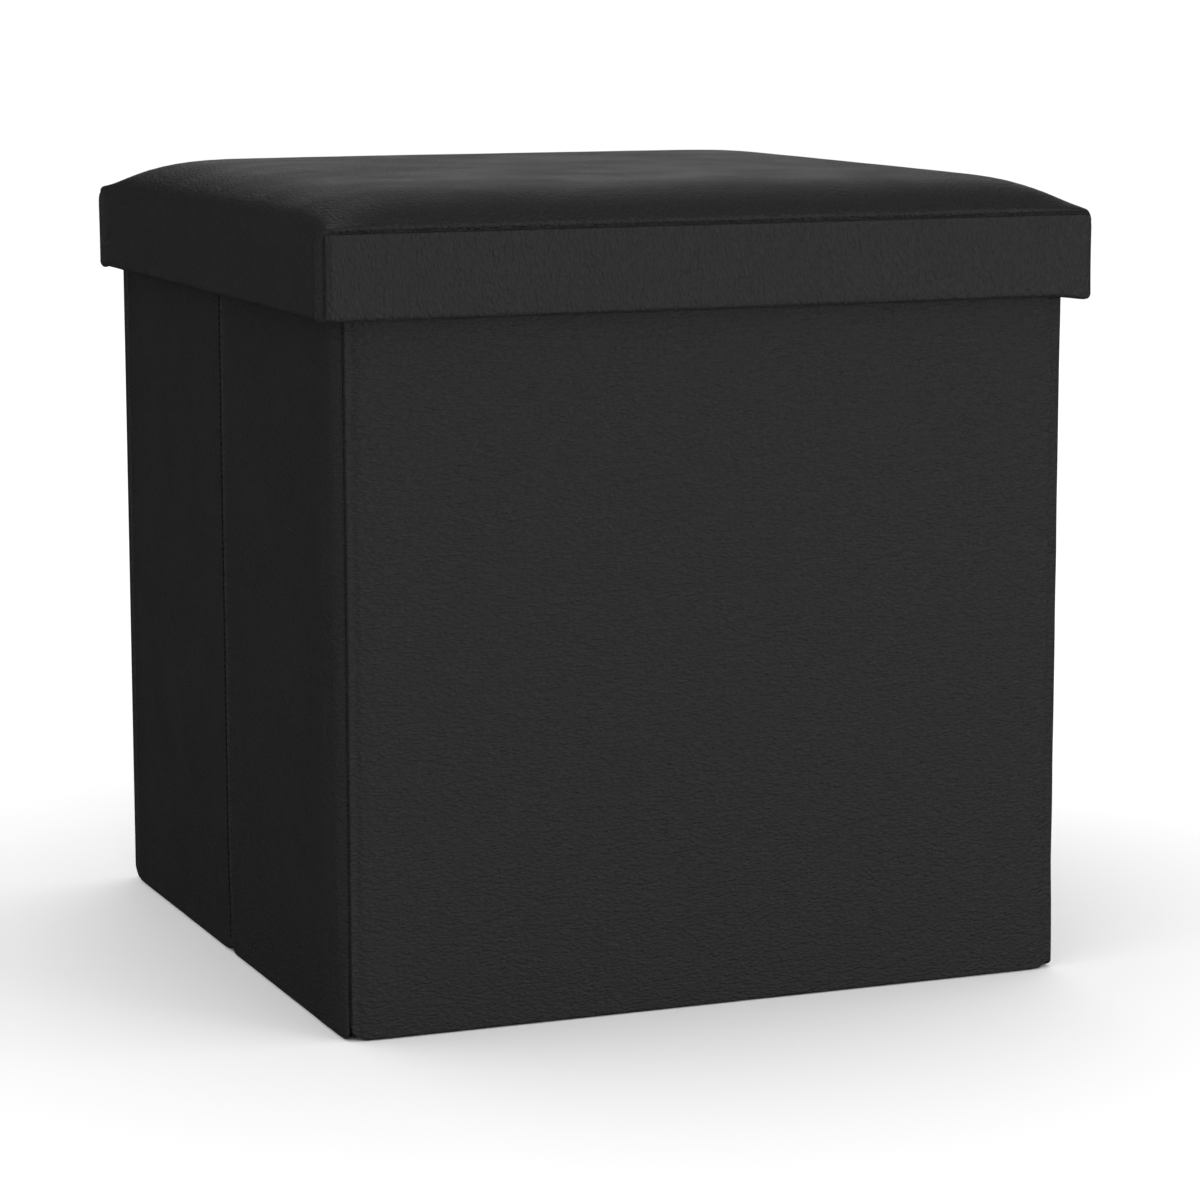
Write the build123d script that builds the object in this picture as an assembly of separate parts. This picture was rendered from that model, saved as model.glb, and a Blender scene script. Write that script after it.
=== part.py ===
from build123d import *
import os

# Foldable storage ottoman: a leathercloth cube whose four walls fold flat,
# a base panel hinged at the foot of the back wall, and a padded lift-off lid.
# X runs to the right, Y to the back and Z up. The origin is the middle of the
# footprint, on the floor. Sizes are in millimetres.

# Driving dimensions of the box
BODY = 360.0            # outside width and depth over the walls
WALL_TOP = 359.6        # top edge of the walls
COVER = 1.0             # leathercloth
BOARD = 3.0             # fibreboard stiffener
LINING = 1.0            # non-woven lining with its glue line
HEM = 6.0               # soft hem under each wall's board
EDGE_ROUND = 0.6        # roll of the leathercloth round a wall's upright arris

# Driving dimensions of the fold
BASE_GAP = 5.0          # room in front of the back wall for the raised base panel
FOLD_CLEAR = 0.2        # how far the corner seams stand inside the lining

# Driving dimensions of the base panel
BASE_SIDE_GAP = 1.5     # gap to the lining, left, right and front
BASE_REAR_GAP = 1.0     # gap to the back wall's lining, where the hinge tape runs
BASE_LOW = 0.6          # underside of the panel
WRAP = 0.4              # non-woven wrap of the panel
TAPE = 0.4              # hinge tape
TAPE_REACH = 15.0       # width of the tape on each side of the hinge
TAPE_INSET = 10.0       # the tape stops this far short of the panel's ends
TAB_WIDTH = 24.0
TAB_LENGTH = 32.0
TAB_THICK = 1.0

# Driving dimensions of the lid
LID = 380.0             # outside width and depth over the skirt
RIM_LOW = 326.0         # bottom edge of the skirt
RIM_HIGH = 364.5        # crease along the top of the skirt
ROLL_START = 2.0        # the cover stands this far above the crease before it rolls in
ROLL_RISE = 15.6        # height that the roll gains
ROLL_WIDTH = 89.0       # how far in from the edge the roll runs
ROLL_POWER = 4.8        # how much steeper the roll is at the edge than a straight slope
ROLL_STEPS = 6
CROWN_INSET = 150.0     # from the edge to the crown's flat middle
CROWN_RISE = 0.8        # height of the crown's middle above the end of the roll
CORNER_GROWTH = 0.2     # the plan's corners open by this for each millimetre inwards
LID_CORNER = 5.0        # radius of the lid's upright corners
LID_LINING = 0.5

WALL = COVER + BOARD + LINING
OUT = BODY / 2
IN = OUT - WALL
REAR_PIVOT_Y = IN - BASE_GAP
FRONT_PIVOT_Y = -(IN - FOLD_CLEAR)
CREASE_Y = (REAR_PIVOT_Y + FRONT_PIVOT_Y) / 2   # half way, so the halves fold to one length
BOARD_INSET = 1.5       # from a board's upright edge to the seam beside it
BASE_TOP = BASE_LOW + BOARD + 2 * WRAP
BASE_REAR = IN - BASE_REAR_GAP
BASE_HALF = IN - BASE_SIDE_GAP


def block(x, y, z):
    """A box from its (low, high) pairs."""
    size = [high - low for low, high in (x, y, z)]
    middle = [(low + high) / 2 for low, high in (x, y, z)]
    return Pos(*middle) * Box(*size)


def prism(outline, low, high):
    """An upright prism on a plan outline."""
    face = make_face(Polyline(*outline, close=True))
    return Pos(0, 0, low) * extrude(face, high - low, dir=(0, 0, 1))


def wall_plan(start, end, inner, outer):
    """A wall's plan between two depths, for a wall that runs along Y on the left.

    start and end are (y on the inner face, y on the outer face): the ends are square where both
    are the same, and mitred where they differ. inner and outer are x, from -IN out to -OUT.
    """

    def end_y(pair, x):
        return pair[0] + (pair[1] - pair[0]) * (-IN - x) / WALL

    return [
        (inner, end_y(start, inner)),
        (outer, end_y(start, outer)),
        (outer, end_y(end, outer)),
        (inner, end_y(end, inner)),
    ]


def rounded_arris(shape, ys):
    """Rolls the cover's outer upright edges that stand at the given y."""
    edges = [
        edge
        for edge in shape.edges().filter_by(Axis.Z)
        if abs(edge.center().X + OUT) < 1e-6 and any(abs(edge.center().Y - y) < 1e-6 for y in ys)
    ]
    return fillet(edges, EDGE_ROUND) if edges else shape


def wall_pieces(start, end, rolled):
    """Board, cover, lining and hem of a wall that runs along Y on the left."""
    low, high = sorted((start[0], end[0]))
    board = block(
        (-OUT + COVER, -IN - LINING),
        (low + BOARD_INSET, high - BOARD_INSET),
        (HEM + COVER, WALL_TOP - COVER),
    )
    skin = prism(wall_plan(start, end, -IN - LINING, -OUT), HEM, WALL_TOP)
    cover = rounded_arris(skin, rolled) - board
    lining = prism(wall_plan(start, end, -IN, -IN - LINING), HEM, WALL_TOP)
    hem = rounded_arris(prism(wall_plan(start, end, -IN, -OUT), 0, HEM), rolled)
    return {"board": board, "cover": cover, "lining": lining, "hem": hem}


def turned(shape, degrees):
    """A left-hand wall turned about the ottoman's middle, to the front or the back."""
    return Rot(0, 0, degrees) * shape


def crown_sections():
    """(inset from the edge, height above the crease) of the lid's top, edge first."""
    steps = [(step / ROLL_STEPS) ** 2 for step in range(ROLL_STEPS + 1)]
    roll = [
        (part * ROLL_WIDTH, ROLL_START + ROLL_RISE * (1 - (1 - part) ** ROLL_POWER)) for part in steps
    ]
    return roll + [(CROWN_INSET, roll[-1][1] + CROWN_RISE)]


def crowned(half, low, depth, corner):
    """The lid's solid shape: straight sides, a rolled shoulder and a shallow crown.

    depth is how far this surface lies inside the cover's outer face.
    """
    sections = [
        Pos(0, 0, RIM_HIGH - depth + height)
        * RectangleRounded(2 * (half - inset), 2 * (half - inset), corner + CORNER_GROWTH * inset)
        for inset, height in crown_sections()
    ]
    side_top = RIM_HIGH - depth + ROLL_START
    sides = Pos(0, 0, low) * extrude(RectangleRounded(2 * half, 2 * half, corner), side_top - low)
    return sides + loft(sections, ruled=True)


def mirrored(shape):
    """A left-hand piece made right-handed."""
    return mirror(shape, Plane.YZ)


nodes = {}

# Front and back walls: one board each, mitred at both upright arrises.
whole_wall = wall_pieces((IN, OUT), (-IN, -OUT), (OUT, -OUT))
for piece, shape in whole_wall.items():
    nodes[f"front_{piece}"] = turned(shape, 90)
    nodes[f"back_{piece}"] = turned(shape, -90)

# Side walls: two boards each, which fold inwards at the mid crease.
rear_half = wall_pieces((REAR_PIVOT_Y, REAR_PIVOT_Y), (CREASE_Y, CREASE_Y), ())
front_half = wall_pieces((CREASE_Y, CREASE_Y), (-IN, -OUT), (-OUT,))
for half_name, half in (("rear", rear_half), ("front", front_half)):
    for piece, shape in half.items():
        nodes[f"left_{half_name}_{piece}"] = shape
        nodes[f"right_{half_name}_{piece}"] = mirrored(shape)

# Rear gussets: the strips of leathercloth that bridge the base panel's room.
gusset_plan = wall_plan((IN, OUT), (REAR_PIVOT_Y, REAR_PIVOT_Y), -IN, -OUT)
gusset = rounded_arris(prism(gusset_plan, 0, WALL_TOP), (OUT,))
nodes["left_rear_gusset"] = gusset
nodes["right_rear_gusset"] = mirrored(gusset)

# Base panel, wrapped in non-woven, hinged to the back wall by a tape.
base_x = (-BASE_HALF, BASE_HALF)
base_y = (-BASE_HALF, BASE_REAR)
base_board = block(
    (base_x[0] + WRAP, base_x[1] - WRAP),
    (base_y[0] + WRAP, base_y[1] - WRAP),
    (BASE_LOW + WRAP, BASE_TOP - WRAP),
)
nodes["base_board"] = base_board
nodes["base_wrap"] = block(base_x, base_y, (BASE_LOW + WRAP, BASE_TOP)) - base_board
nodes["base_backing"] = block(base_x, base_y, (BASE_LOW, BASE_LOW + WRAP))
tape_x = (base_x[0] + TAPE_INSET, base_x[1] - TAPE_INSET)
nodes["base_hinge_flap"] = block(tape_x, (BASE_REAR - TAPE_REACH, BASE_REAR), (BASE_TOP, BASE_TOP + TAPE))
nodes["back_hinge_tape"] = block(tape_x, (IN - TAPE, IN), (HEM, HEM + TAPE_REACH))
nodes["base_pull_tab"] = block(
    (-TAB_WIDTH / 2, TAB_WIDTH / 2),
    (base_y[0] + TAB_THICK, base_y[0] + TAB_THICK + TAB_LENGTH),
    (BASE_TOP, BASE_TOP + TAB_THICK),
)

# Lid: a board on four skirt boards, a foam pad, the cover and a lining.
half_lid = LID / 2
core_half = half_lid - COVER
core_corner = LID_CORNER - COVER
deck_high = RIM_HIGH - COVER
deck_low = deck_high - BOARD
skirt_low = RIM_LOW + COVER
skirt_half = core_half - BOARD
core_plan = RectangleRounded(2 * core_half, 2 * core_half, core_corner)
nodes["lid_board"] = Pos(0, 0, deck_low) * extrude(core_plan, BOARD)
frame_plan = core_plan - Rectangle(2 * skirt_half, 2 * skirt_half)
frame = Pos(0, 0, skirt_low) * extrude(frame_plan, deck_low - skirt_low)
span = (-core_half, core_half)
between = (-skirt_half, skirt_half)
rise = (skirt_low, deck_low)
nodes["lid_front_skirt_board"] = frame & block(span, (-core_half, -skirt_half), rise)
nodes["lid_back_skirt_board"] = frame & block(span, (skirt_half, core_half), rise)
nodes["lid_left_skirt_board"] = frame & block((-core_half, -skirt_half), between, rise)
nodes["lid_right_skirt_board"] = frame & block((skirt_half, core_half), between, rise)

inside = crowned(core_half, skirt_low, COVER, core_corner)
above_deck = block(span, span, (deck_high, RIM_HIGH + LID))
nodes["lid_foam"] = inside & above_deck
lined_half = skirt_half - LID_LINING
mouth = block((-lined_half, lined_half), (-lined_half, lined_half), (RIM_LOW, skirt_low))
nodes["lid_cover"] = crowned(half_lid, RIM_LOW, 0, LID_CORNER) - inside - mouth
lining_block = block(between, between, rise)
hollow = block((-lined_half, lined_half), (-lined_half, lined_half), (skirt_low, deck_low - LID_LINING))
nodes["lid_lining"] = lining_block - hollow

os.makedirs("parts", exist_ok=True)
for name, shape in nodes.items():
    export_step(shape, f"parts/{name}.step")
print(len(nodes), "nodes")
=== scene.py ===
import math

import bmesh
import bpy
import numpy as np
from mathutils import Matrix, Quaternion, Vector, noise


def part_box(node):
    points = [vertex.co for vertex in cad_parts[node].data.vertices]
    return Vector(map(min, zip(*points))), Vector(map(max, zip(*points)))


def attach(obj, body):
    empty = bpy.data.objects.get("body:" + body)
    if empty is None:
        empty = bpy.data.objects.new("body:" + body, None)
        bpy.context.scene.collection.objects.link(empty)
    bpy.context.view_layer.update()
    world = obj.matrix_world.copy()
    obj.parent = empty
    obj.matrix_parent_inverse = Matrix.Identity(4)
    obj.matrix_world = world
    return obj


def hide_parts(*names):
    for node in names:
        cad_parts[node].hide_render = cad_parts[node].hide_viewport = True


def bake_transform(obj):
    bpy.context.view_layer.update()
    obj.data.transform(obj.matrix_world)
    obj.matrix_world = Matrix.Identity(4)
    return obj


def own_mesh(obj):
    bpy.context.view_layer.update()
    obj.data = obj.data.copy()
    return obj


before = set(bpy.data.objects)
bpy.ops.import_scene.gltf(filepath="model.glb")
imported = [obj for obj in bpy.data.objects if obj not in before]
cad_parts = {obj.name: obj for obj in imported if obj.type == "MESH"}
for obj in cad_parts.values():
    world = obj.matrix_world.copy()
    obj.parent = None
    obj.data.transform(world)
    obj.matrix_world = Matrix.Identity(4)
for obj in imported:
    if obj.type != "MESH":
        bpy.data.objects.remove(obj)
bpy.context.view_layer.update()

# A foldable cube ottoman: six wall boards in pockets of black leathercloth, a wrapped base panel on a tape
# hinge and a padded lift-off lid. Lengths are in metres, and MM turns millimetres into them.

MM = 0.001

# --- Places read from the frame ---
OUT = -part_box("front_cover")[0].y           # outer face of every wall
IN = -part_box("front_lining")[1].y           # lined face of every wall
WALL = OUT - IN
WALL_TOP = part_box("front_cover")[1].z
HEM_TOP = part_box("front_hem")[1].z
CREASE_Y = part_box("left_rear_cover")[0].y
REAR_SEAM_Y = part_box("left_rear_cover")[1].y
LID_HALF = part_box("lid_cover")[1].x
RIM_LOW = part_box("lid_cover")[0].z
DECK_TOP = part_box("lid_board")[1].z
DECK_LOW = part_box("lid_board")[0].z
CREASE_Z = DECK_TOP + 1.0 * MM              # the crease along the top of the lid's skirt
BASE_LOW, BASE_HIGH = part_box("base_backing")[0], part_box("base_wrap")[1]

# --- Leathercloth and lining sizes ---
POCKET = 4.4 * MM           # a wall pocket's thickness under its lining
POCKET_ROLL = 2.3 * MM      # radius of the leathercloth over a wall's edge
TURN_IN = 16 * MM           # leathercloth turned in over the top edge
MITRE_EASE = 0.6 * MM       # each mitred end stops this short of its seam
CREASE_PINCH = 3.5 * MM     # how far the inner layers are sewn down at a side wall's mid crease
PINCH_WIDE = 0.85 * MM
CREASE_BEND = 1.2 * MM      # the ends given to bend() lie this far on each side of a side wall's mid crease; bend() does not use them
CREASE_DENSE = 6 * MM       # the mesh is finer this near to the crease
HEM_PROUD = 0.4             # share of a side wall's relief that is left at its hem, which folds flat


# ---------------------------------------------------------------- materials

def linear(hex_colour):
    """sRGB hex as linear RGBA."""
    channels = [int(hex_colour[i:i + 2], 16) / 255 for i in (1, 3, 5)]
    return [c / 12.92 if c <= 0.04045 else ((c + 0.055) / 1.055) ** 2.4 for c in channels] + [1.0]


def add(tree, kind, settings=None, links=None):
    """Adds a node: settings are attributes or input values, links go from (node, output) to inputs."""
    node = tree.nodes.new(kind)
    for key, value in (settings or {}).items():
        if isinstance(key, str) and hasattr(node, key):
            setattr(node, key, value)
        else:
            node.inputs[key].default_value = value
    for key, (source, output) in (links or {}).items():
        tree.links.new(source.outputs[output], node.inputs[key])
    return node


def new_material(name):
    material = bpy.data.materials.new(name)
    material.use_nodes = True
    material.node_tree.nodes.clear()
    return material, material.node_tree


def finish_material(tree, shader):
    add(tree, "ShaderNodeOutputMaterial", links={"Surface": (shader, "BSDF")})


EMBOSS_DEPTH = 0.85 * MM


def embossed_leathercloth(name, pebble_mm, gloss=0.46):
    """Polyurethane leathercloth, calendered and embossed: shallow flattened pebbles with fine creases
    between them, drawn longer along one axis by the roller, under a satin topcoat that dulls where it
    is rubbed. It gives the eye a soft, broken sheen on near black. pebble_mm is the pebble's size along X,
    Y and Z. A real pebble is 0.5 to 1 mm, too fine to show, so it is drawn about twice as coarse."""
    material, tree = new_material(name)
    place = add(tree, "ShaderNodeTexCoord")
    stretch = add(tree, "ShaderNodeMapping", {"Scale": [1 / (size * MM) for size in pebble_mm]},
                  {"Vector": (place, "Object")})
    waver = add(tree, "ShaderNodeTexNoise", {"Scale": 0.45, "Detail": 2.0},
                {"Vector": (stretch, "Vector")})
    bent = add(tree, "ShaderNodeVectorMath", {"operation": "MULTIPLY_ADD", 1: (0.7, 0.7, 0.7)},
               {0: (waver, "Color"), 2: (stretch, "Vector")})
    pebbles = add(tree, "ShaderNodeTexVoronoi",
                  {"feature": "SMOOTH_F1", "Scale": 1.0, "Smoothness": 0.55, "Randomness": 1.0},
                  {"Vector": (bent, "Vector")})
    creases = add(tree, "ShaderNodeTexNoise", {"Scale": 1.3, "Detail": 5.0, "Roughness": 0.62},
                  {"Vector": (bent, "Vector")})
    relief = add(tree, "ShaderNodeMath", {"operation": "MULTIPLY_ADD", 1: -0.9},
                 {0: (pebbles, "Distance"), 2: (creases, "Fac")})
    slack = add(tree, "ShaderNodeTexNoise", {"Scale": 28.0, "Detail": 3.0}, {"Vector": (place, "Object")})
    rubbed = add(tree, "ShaderNodeMapRange",
                 {"From Min": 0.3, "From Max": 0.7, "To Min": gloss - 0.05, "To Max": gloss + 0.06},
                 {"Value": (slack, "Fac")})
    # Painted shade and light: the colour follows the embossed relief, darker #252526 in the low creases
    # between the pebbles and lighter #313133 on the pebble tops.
    crease_shade = add(tree, "ShaderNodeMapRange",
               {"From Min": 0.1, "From Max": 0.9, "To Min": 0.0, "To Max": 1.0},
               {"Value": (relief, "Value")})
    colour = add(tree, "ShaderNodeMix", {"data_type": "RGBA"}, {0: (crease_shade, "Result")})
    colour.inputs[6].default_value = linear("#252526")
    colour.inputs[7].default_value = linear("#313133")
    bump = add(tree, "ShaderNodeBump", {"Strength": 1.0, "Distance": EMBOSS_DEPTH},
               {"Height": (relief, "Value")})
    shader = add(tree, "ShaderNodeBsdfPrincipled",
                 {"IOR": 1.5, "Specular IOR Level": 0.5, "Coat Weight": 0.0},
                 {"Base Color": (colour, 2), "Roughness": (rubbed, "Result"), "Normal": (bump, "Normal")})
    finish_material(tree, shader)
    return material


def plain_material(name, low, high, grain_mm, roughness, bump_mm, sheen=0.0, detail=4.0):
    """A matte material with a fine grain between two colours."""
    material, tree = new_material(name)
    place = add(tree, "ShaderNodeTexCoord")
    grain = add(tree, "ShaderNodeTexNoise", {"Scale": 1 / (grain_mm * MM), "Detail": detail},
                {"Vector": (place, "Object")})
    colour = add(tree, "ShaderNodeMix", {"data_type": "RGBA"}, {0: (grain, "Fac")})
    colour.inputs[6].default_value = linear(low)
    colour.inputs[7].default_value = linear(high)
    bump = add(tree, "ShaderNodeBump", {"Strength": 0.6, "Distance": bump_mm * MM},
               {"Height": (grain, "Fac")})
    shader = add(tree, "ShaderNodeBsdfPrincipled",
                 {"Roughness": roughness, "Sheen Weight": sheen, "Specular IOR Level": 0.35},
                 {"Base Color": (colour, 2), "Normal": (bump, "Normal")})
    finish_material(tree, shader)
    return material


# Satin near-black leathercloth: grain that runs across the walls, round on the lid, upright on its bands.
leather_wall = embossed_leathercloth("embossed_leathercloth_walls", (2.6, 2.6, 1.15))
leather_lid = embossed_leathercloth("embossed_leathercloth_lid", (1.7, 1.7, 1.7))
leather_band = embossed_leathercloth("embossed_leathercloth_bands", (1.3, 1.3, 2.6))
# Point-bonded non-woven is flat black and slightly furry; raw board is a warm, dull brown; open-cell foam
# is a speckled cream; polypropylene tape is black with a dull gleam; the thread is blacker than the cloth.
nonwoven = plain_material("spunbond_nonwoven_lining", "#141414", "#2b2b2c", 0.9, 0.85, 0.12, sheen=0.2)
fibreboard = plain_material("raw_fibreboard", "#8a6a48", "#b18d66", 1.6, 0.8, 0.05)
foam_cells = plain_material("open_cell_foam", "#cfc8b4", "#e6e0cf", 0.7, 0.9, 0.25)
webbing = plain_material("woven_polypropylene_tape", "#0e0e0f", "#232325", 0.8, 0.6, 0.2)
thread = plain_material("bonded_polyester_thread", "#0c0c0c", "#161616", 0.4, 0.7, 0.05)


# ---------------------------------------------------------------- mesh tools

def mesh_piece(name, points, faces, material, sharp_deg=60):
    """A smooth-shaded closed mesh whose faces point outwards."""
    mesh = bpy.data.meshes.new(name)
    mesh.from_pydata([tuple(p) for p in points], [], faces)
    mesh.validate()
    work = bmesh.new()
    work.from_mesh(mesh)
    bmesh.ops.remove_doubles(work, verts=work.verts, dist=1e-7)
    bmesh.ops.recalc_face_normals(work, faces=work.faces)
    work.to_mesh(mesh)
    work.free()
    mesh.polygons.foreach_set("use_smooth", [True] * len(mesh.polygons))
    mesh.set_sharp_from_angle(angle=math.radians(sharp_deg))
    mesh.materials.append(material)
    piece = bpy.data.objects.new(name, mesh)
    bpy.context.scene.collection.objects.link(piece)
    return piece


def stations(low, high, roll_low, roll_high, step, dense=()):
    """Places of the grid lines along an edge: finer over the rolls at its ends and near dense places.

    dense holds (centre, reach, step) in the same units."""
    angles = [math.tan(math.radians(a)) for a in (0, 10, 20, 28, 37, 45)]
    marks = {low, high}
    if roll_low:
        marks |= {low + roll_low * (1 - t) for t in angles}
    if roll_high:
        marks |= {high - roll_high * (1 - t) for t in angles}
    inner_low, inner_high = low + roll_low, high - roll_high
    count = max(1, round((inner_high - inner_low) / step))
    marks |= {inner_low + (inner_high - inner_low) * i / count for i in range(count + 1)}
    for centre, reach, fine in dense:
        half = round(reach / fine)
        marks |= {centre + i * fine for i in range(-half, half + 1)}
    ordered = sorted(m for m in marks if low - 1e-9 <= m <= high + 1e-9)
    kept = [ordered[0]]
    for mark in ordered[1:]:
        if mark - kept[-1] > 0.05 * MM:
            kept.append(mark)
    kept[-1] = high
    return np.array(kept)


def block_shell(us, ws, zs):
    """Points and faces of a box's surface on a grid of lines along u, w and z."""
    sizes = (len(us), len(ws), len(zs))
    index, points, faces = {}, [], []

    def vertex(i, j, k):
        if (i, j, k) not in index:
            index[i, j, k] = len(points)
            points.append((us[i], ws[j], zs[k]))
        return index[i, j, k]

    for axis in range(3):
        a, b = [x for x in range(3) if x != axis]
        for side in (0, sizes[axis] - 1):
            for p in range(sizes[a] - 1):
                for q in range(sizes[b] - 1):
                    corners = []
                    for dp, dq in ((0, 0), (1, 0), (1, 1), (0, 1)):
                        at = [0, 0, 0]
                        at[axis], at[a], at[b] = side, p + dp, q + dq
                        corners.append(vertex(*at))
                    faces.append(corners)
    return np.array(points), faces


def rolled(points, low, high, roll_low, roll_high):
    """Rounds a box's surface: each axis has its own roll at either end, and 0 leaves it square."""
    clamped = points.copy()
    for axis in range(3):
        inner_low, inner_high = low[axis] + roll_low[axis], high[axis] - roll_high[axis]
        clamped[:, axis] = np.clip(points[:, axis], inner_low, inner_high)
    offset = points - clamped
    longest = np.abs(offset).max(1)
    length = np.linalg.norm(offset, axis=1)
    scale = np.where(length > 1e-12, longest / np.maximum(length, 1e-12), 1)
    return clamped + offset * scale[:, None]


def slab(name, low, high, roll, material, step=8 * MM):
    """A closed slab with rolled edges."""
    grids = [stations(low[a], high[a], roll, roll, step) for a in range(3)]
    points, faces = block_shell(*grids)
    return mesh_piece(name, rolled(points, low, high, (roll,) * 3, (roll,) * 3), faces, material)


def field(points, scale, seed):
    """Smooth random values from -1 to 1 over points, with features about scale long."""
    shift = Vector((seed * 7.31, seed * 3.17, seed * 1.93))
    return np.array([noise.noise(Vector(p) / scale + shift) for p in points])


def bell(distance, width):
    return np.exp(-(distance / width) ** 2)


# ---------------------------------------------------------------- walls

# On a wall, u runs along it, w outwards from its outer face and z upwards.

def to_front(u, w, z):
    return np.stack([u, -OUT - w, z], 1)


def to_back(u, w, z):
    return np.stack([-u, OUT + w, z], 1)


def to_left(u, w, z):
    return np.stack([-OUT - w, -u, z], 1)


def to_right(u, w, z):
    return np.stack([OUT + w, u, z], 1)


def corner_lift(distance, foot):
    """How far a soft hem's bottom edge lifts towards a corner; foot is (reach, height, power)."""
    reach, height, power = foot
    return height * np.clip(1 - distance / reach, 0, 1) ** power


def pocket(name, place, span, mitres, z_span, rolls_z, relief, material, step=4 * MM, dense=(), z_dense=(),
           feet=(None, None), foot_zone=HEM_TOP, pinch=None):
    """A wall pocket of leathercloth: a closed envelope with rolled edges.

    span is (low, high) along the wall on its outer face; mitres says how much each end is mitred, 0 or 1.
    rolls_z is the roll at the bottom and the top. relief(u, z) is how far the outer face stands proud.
    feet are the soft bottom corners at either end, and foot_zone is the height that gives way to them.
    pinch is where the inner face is sewn down to the outer one, between two boards.
    """
    low_u, high_u = span[0] + mitres[0] * MITRE_EASE, span[1] - mitres[1] * MITRE_EASE
    roll = POCKET_ROLL
    us = stations(low_u, high_u, roll, roll, step, dense)
    ws = stations(-POCKET, 0, roll, roll, POCKET)
    zs = stations(z_span[0], z_span[1], rolls_z[0], rolls_z[1], step, z_dense)
    points, faces = block_shell(us, ws, zs)
    low, high = (low_u, -POCKET, z_span[0]), (high_u, 0, z_span[1])
    points = rolled(points, low, high, (roll, roll, rolls_z[0]), (roll, roll, rolls_z[1]))
    u, w, z = points.T
    along = (u - low_u) / (high_u - low_u)
    lean = -mitres[0] * (1 - along) + mitres[1] * along
    face = np.clip((w + roll) / roll, 0, 1) ** 2 * (3 - 2 * np.clip((w + roll) / roll, 0, 1))
    w = w + face * relief(u, z)
    seat = u + w * lean
    if pinch is not None:
        w = w + (1 - face) * CREASE_PINCH * bell(seat - pinch, PINCH_WIDE)
    lift = 0 * u
    for foot, distance in zip(feet, (u - low_u, high_u - u)):
        if foot:
            lift = np.maximum(lift, corner_lift(distance, foot))
    if lift.any():
        z = z + np.minimum(lift, 0.85 * foot_zone) * np.clip(1 - z / foot_zone, 0, 1)
    return mesh_piece(name, place(seat, w, z), faces, material)


def lining_sheet(name, place, span, z_span, dense=(), pinch=None):
    """A thin sheet of non-woven laid on a wall's inner face."""
    us = stations(span[0], span[1], 0, 0, 12 * MM, dense)
    ws = np.array([-WALL, -POCKET])
    zs = stations(z_span[0], z_span[1], 0, 0, 12 * MM)
    points, faces = block_shell(us, ws, zs)
    u, w, z = points.T
    ripple = 0.12 * MM * field(points, 30 * MM, 5)
    inner = w < -POCKET - 0.01 * MM
    w = w + np.where(inner, np.abs(ripple), 0)
    if pinch is not None:
        w = w + CREASE_PINCH * bell(u - pinch, PINCH_WIDE)
    return mesh_piece(name, place(u, w, z), faces, nonwoven)


def ride(piece, body, *nodes, slot="leathercloth"):
    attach(piece, body)
    if nodes:
        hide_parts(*nodes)
    return piece


def bend(piece, body_a, body_b, start, end, *nodes, slot="leathercloth"):
    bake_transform(piece)
    if nodes:
        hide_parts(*nodes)
    return piece


def slack(u, z, seed, amount):
    """Gentle unevenness of leathercloth that is glued to its board only in places."""
    points = np.stack([u, np.full_like(u, seed * 0.5), z], 1)
    broad = field(points, 90 * MM, seed)
    fine = field(points, 26 * MM, seed + 1)
    return amount * MM * (0.7 * broad + 0.3 * fine)


PROUD = 0.9 * MM            # how far a filled pocket's face stands out from its flat size
EDGE_REACH, EDGE_DROP = 24 * MM, 2.0 * MM


def edge_roll(distance):
    """A pocket beside a corner seam: a thin bead, a valley, then a slow rise to the face."""
    bead = 0.42 * MM * bell(distance - 2.2 * MM, 1.0 * MM)
    valley = -0.42 * MM * bell(distance - 5.0 * MM, 2.2 * MM)
    return bead + valley - EDGE_DROP * np.clip(1 - distance / EDGE_REACH, 0, 1) ** 2


def front_relief(u, z):
    """The front wall's face, with faint pulls under the lid near its left end."""
    left, right = u + OUT, OUT - u
    pull = 0.12 * MM * np.sin((u * 0.55 + z) / (2.6 * MM))
    pull = pull * bell(left - 34 * MM, 15 * MM) * bell(z - 306 * MM, 14 * MM)
    return edge_roll(left) + edge_roll(right) + slack(u, z, 3, 0.35) + pull + PROUD


def back_relief(u, z):
    return edge_roll(u + OUT) + edge_roll(OUT - u) + slack(u, z, 9, 0.30) + PROUD


def crease_relief(ahead):
    """The mid crease: the pinched seam rises from behind and drops in front of itself; ahead is the
    distance in front of it."""
    behind = np.exp(np.minimum(ahead, 0) / (2.6 * MM))
    before = bell(np.maximum(ahead, 0), 1.2 * MM)
    return 0.85 * MM * behind * before


SIDE_REACH, SIDE_DROP = 14 * MM, 2.7 * MM
FADE_LOW, FADE_REACH = 6 * MM, 60 * MM


def side_relief(front_at, crease_at, seed):
    """A side wall: its cover stands proud and rolls in towards the front seam over the seam allowance."""
    toward_front = 1 if front_at > 0 else -1

    def relief(u, z):
        front = np.abs(u - front_at)
        lean = (z / WALL_TOP) * 8 * MM
        roll_in = np.clip(1 - front / SIDE_REACH, 0, 1) ** 1.6
        bulge = 0.40 * MM * bell(front - 33 * MM + lean, 9 * MM)
        rear = np.clip(1 - np.abs(u + toward_front * REAR_SEAM_Y) / (12 * MM), 0, 1) ** 2
        crease = crease_relief((u - crease_at) * toward_front)
        proud = PROUD - SIDE_DROP * roll_in + bulge - 1.0 * MM * rear + crease + slack(u, z, seed, 0.25)
        rise = np.clip((z - FADE_LOW) / FADE_REACH, 0, 1)
        return proud * (HEM_PROUD + (1 - HEM_PROUD) * rise * rise * (3 - 2 * rise))
    return relief


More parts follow.
